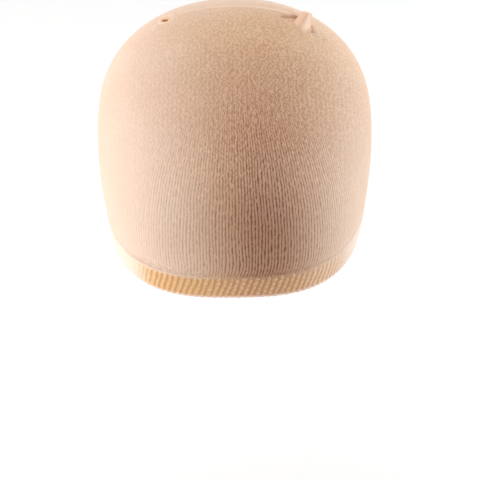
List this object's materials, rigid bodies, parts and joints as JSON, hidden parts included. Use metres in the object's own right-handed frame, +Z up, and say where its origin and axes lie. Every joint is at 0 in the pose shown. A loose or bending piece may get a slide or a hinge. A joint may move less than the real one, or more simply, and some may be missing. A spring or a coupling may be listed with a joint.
{
  "type": "wig cap",
  "caption": "Stretch stocking cap of fine nude knit with a ribbed welt round the hem and a seam over the back of the crown, worn under a wig to hold the hair flat.",
  "frame": {"origin": "centre of the head opening, midway between the hem's lowest points at the brow and at the nape", "axes": "+Z up through the crown, -Y towards the brow and face, +X towards the wearer's left"},
  "size_m": [0.1588, 0.1837, 0.1458],
  "materials": {
    "knit": "fine nude nylon knit, matt with a faint sheen",
    "welt": "doubled ribbed nylon and elastic knit, matt",
    "seam": "overlocked nylon thread, matt",
    "corner": "folded nude nylon knit, matt"
  },
  "bodies": {
    "root": {"knit_crown": "knit", "ribbed_welt": "welt", "crown_seam": "seam", "left_seam_ear": "corner", "right_seam_ear": "corner"}
  },
  "joints": []
}
